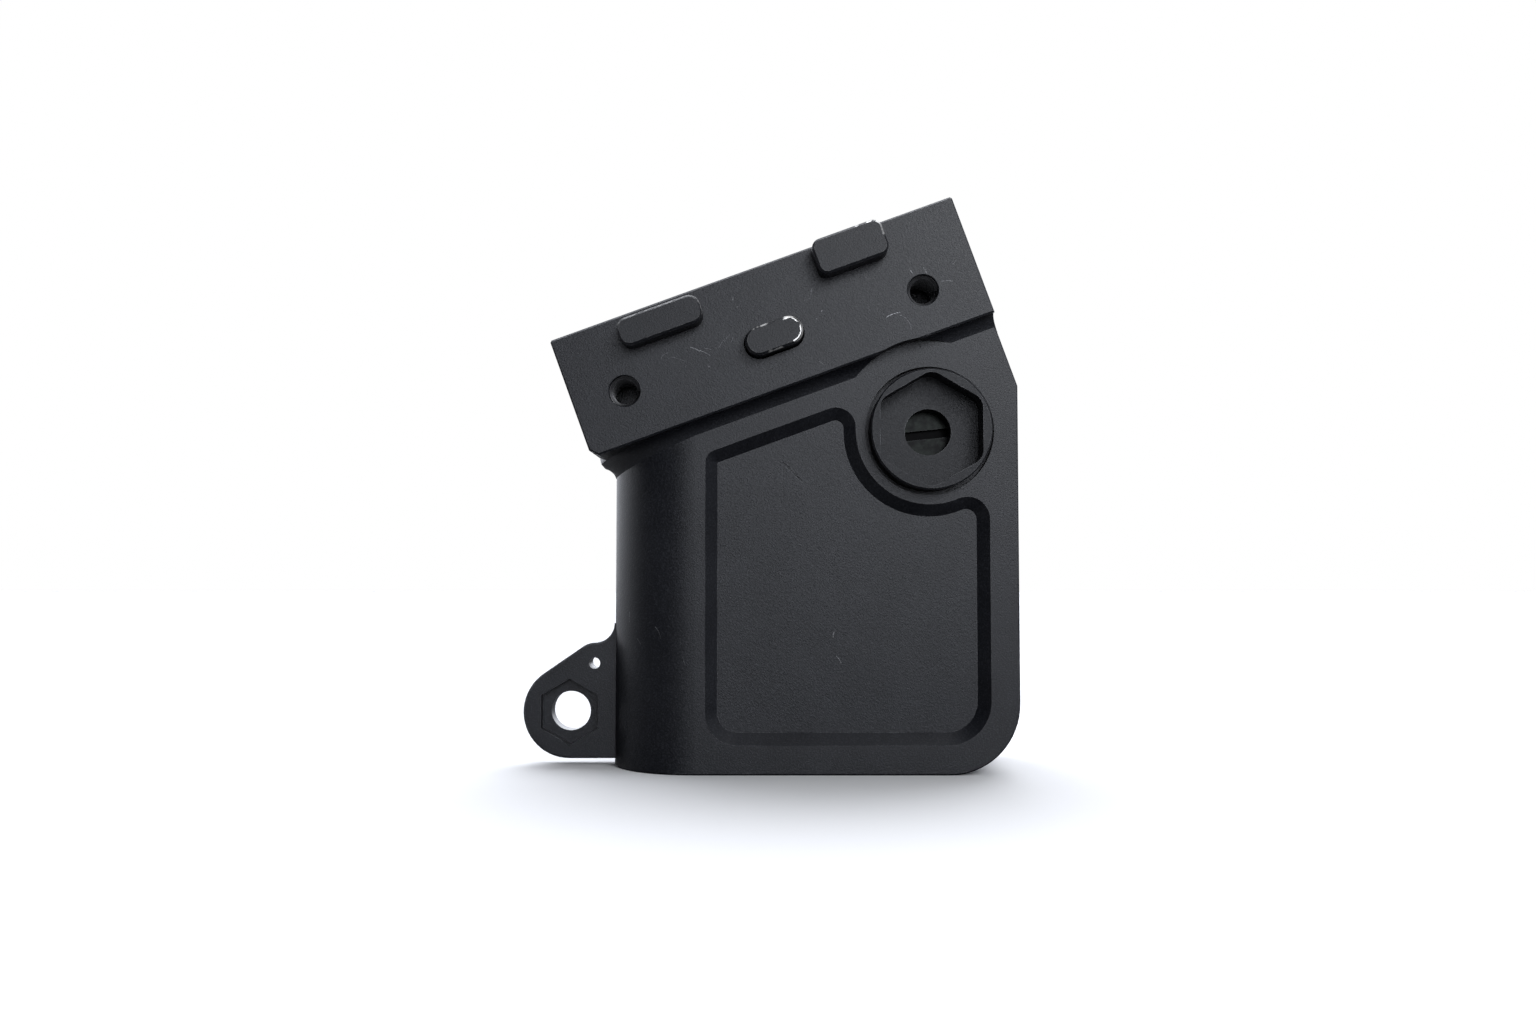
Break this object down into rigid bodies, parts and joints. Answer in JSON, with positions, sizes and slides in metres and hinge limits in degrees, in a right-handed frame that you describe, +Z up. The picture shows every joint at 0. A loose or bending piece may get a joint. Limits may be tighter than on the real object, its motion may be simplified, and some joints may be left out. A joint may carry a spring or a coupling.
{
  "type": "mounting block",
  "caption": "Black machined mounting block with a tilted keyed plate, hexagon bush with a captive screw, sunk side panel and an ear with a nut seat.",
  "frame": {"origin": "middle of the base that the block stands on", "axes": "+Z up from the base, +Y from the panelled front to the covered back, +X from the rounded nose to the square side"},
  "size_m": [0.0861, 0.0375, 0.0977],
  "materials": {
    "anodised_block": "bead-blasted and hard anodised, matte near-black",
    "anodised_cover": "fine-milled and hard anodised, matte near-black",
    "blackened_key": "blackened tool steel, worn bright on its edges",
    "blackened_bush": "turned and blackened steel, matte",
    "plated_screw": "zinc-nickel plated steel, dark satin",
    "blackened_screw": "black oxide steel, satin",
    "spring_steel": "drawn spring wire",
    "bright_steel": "ground steel",
    "insert_steel": "dry-film coated stainless steel"
  },
  "bodies": {
    "block": {"block_body": "anodised_block", "rear_cover": "anodised_cover", "key_bay_cover": "anodised_cover", "left_locating_key": "blackened_key", "right_locating_key": "blackened_key", "hex_bush": "blackened_bush", "captive_screw_spring": "spring_steel", "lock_key_spring": "spring_steel", "guide_sleeve": "bright_steel", "spring_retainer": "bright_steel", "spring_retainer_screws": "blackened_screw", "locating_key_screws": "blackened_screw", "rear_cover_screws": "blackened_screw", "key_bay_cover_screws": "blackened_screw", "rear_cover_dowels": "bright_steel", "left_thread_insert": "insert_steel", "right_thread_insert": "insert_steel"},
    "lock_key": {"lock_key": "blackened_key"},
    "captive_carriage": {"captive_washer": "bright_steel"},
    "captive_screw": {"captive_screw": "plated_screw"}
  },
  "joints": [
    {"name": "lock_key_press", "type": "slide", "parent": "block", "child": "lock_key", "axis": [0, 1, 0], "range_m": [0, 0.0028], "stiffness_N_per_m": 1500, "springref_m": -0.002, "deforming": ["lock_key_spring"]},
    {"name": "captive_screw_push", "type": "slide", "parent": "block", "child": "captive_carriage", "axis": [0, 1, 0], "range_m": [0, 0.0065], "stiffness_N_per_m": 1200, "springref_m": -0.002, "deforming": ["captive_screw_spring"]},
    {"name": "captive_screw_turn", "type": "hinge", "parent": "captive_carriage", "child": "captive_screw", "pos_m": [0.0199, 0, 0.0583], "axis": [0, 1, 0], "continuous": true}
  ]
}
